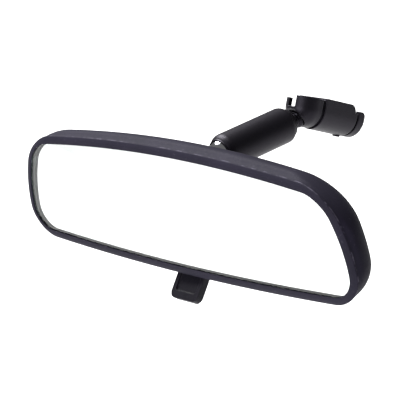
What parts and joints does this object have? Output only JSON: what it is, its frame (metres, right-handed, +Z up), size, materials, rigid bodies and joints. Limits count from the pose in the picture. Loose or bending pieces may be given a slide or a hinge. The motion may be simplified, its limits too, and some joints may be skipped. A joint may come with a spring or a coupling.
{
  "type": "interior rearview mirror",
  "caption": "Day/night prism mirror in a moulded case with a flip lever, on a double-ball arm with a channel mount for a windscreen button.",
  "frame": {"origin": "middle of the seat in the mount's channel that the windscreen button bears on", "axes": "+X along the mirror, +Y forward to the windscreen, +Z up; the driver looks along +Y"},
  "size_m": [0.2492, 0.1348, 0.0833],
  "materials": {
    "moulded_case": "fine-grained moulded charcoal",
    "lever_plastic": "satin moulded black",
    "black_paint": "satin black coating",
    "nylon": "natural moulded nylon",
    "foam": "closed-cell foam",
    "glass": "polished, ground edge",
    "silvering": "reflective coating",
    "steel": "zinc-plated",
    "ball_chrome": "polished ball",
    "spring_steel": "drawn wire"
  },
  "bodies": {
    "mount": {"mount_channel": "black_paint", "mount_nose": "black_paint", "mount_end_flange": "black_paint", "clamp_screw": "black_paint", "mount_stem": "black_paint"},
    "mount_ball": {"mount_ball": "ball_chrome"},
    "rear_seat": {"rear_ball_seat": "nylon"},
    "arm": {"arm_tube": "black_paint", "front_washer": "steel", "rear_washer": "steel", "arm_spring": "spring_steel"},
    "front_seat": {"front_ball_seat": "nylon"},
    "head_ball": {"head_ball": "ball_chrome"},
    "carrier": {"head_stem": "steel", "toggle_carrier": "steel"},
    "head": {"mirror_case": "moulded_case", "prism_glass": "glass", "mirror_coating": "silvering", "backing_pad": "foam", "pivot_pin_left": "steel", "pivot_pin_right": "steel", "lever_pin": "steel"},
    "lever": {"day_night_lever": "lever_plastic"}
  },
  "joints": [
    {"name": "arm_swing", "type": "hinge", "parent": "mount", "child": "mount_ball", "pos_m": [0, -0.03264, 0.00082], "axis": [0, 0, 1], "range_deg": [-25, 25]},
    {"name": "arm_tilt", "type": "hinge", "parent": "mount_ball", "child": "rear_seat", "pos_m": [0, -0.03264, 0.00082], "axis": [1, 0, 0], "range_deg": [-20, 20]},
    {"name": "arm_spin", "type": "hinge", "parent": "rear_seat", "child": "arm", "pos_m": [0, -0.03264, 0.00082], "axis": [0, 1, 0], "continuous": true},
    {"name": "head_roll", "type": "hinge", "parent": "arm", "child": "front_seat", "pos_m": [0, -0.07264, 0.00082], "axis": [0, 1, 0], "range_deg": [-30, 30]},
    {"name": "head_tilt", "type": "hinge", "parent": "front_seat", "child": "head_ball", "pos_m": [0, -0.07264, 0.00082], "axis": [1, 0, 0], "range_deg": [-20, 20]},
    {"name": "head_turn", "type": "hinge", "parent": "head_ball", "child": "carrier", "pos_m": [0, -0.07264, 0.00082], "axis": [0, 0, 1], "range_deg": [-25, 25]},
    {"name": "day_night", "type": "hinge", "parent": "carrier", "child": "head", "pos_m": [0, -0.09934, 0.00452], "axis": [1, 0, 0], "range_deg": [0, 4.2]},
    {"name": "lever_flip", "type": "hinge", "parent": "head", "child": "lever", "pos_m": [0, -0.09934, -0.03898], "axis": [1, 0, 0], "range_deg": [0, 42]}
  ],
  "couplings": [
    {"joint": "lever_flip", "follows": "day_night", "ratio": 10}
  ]
}
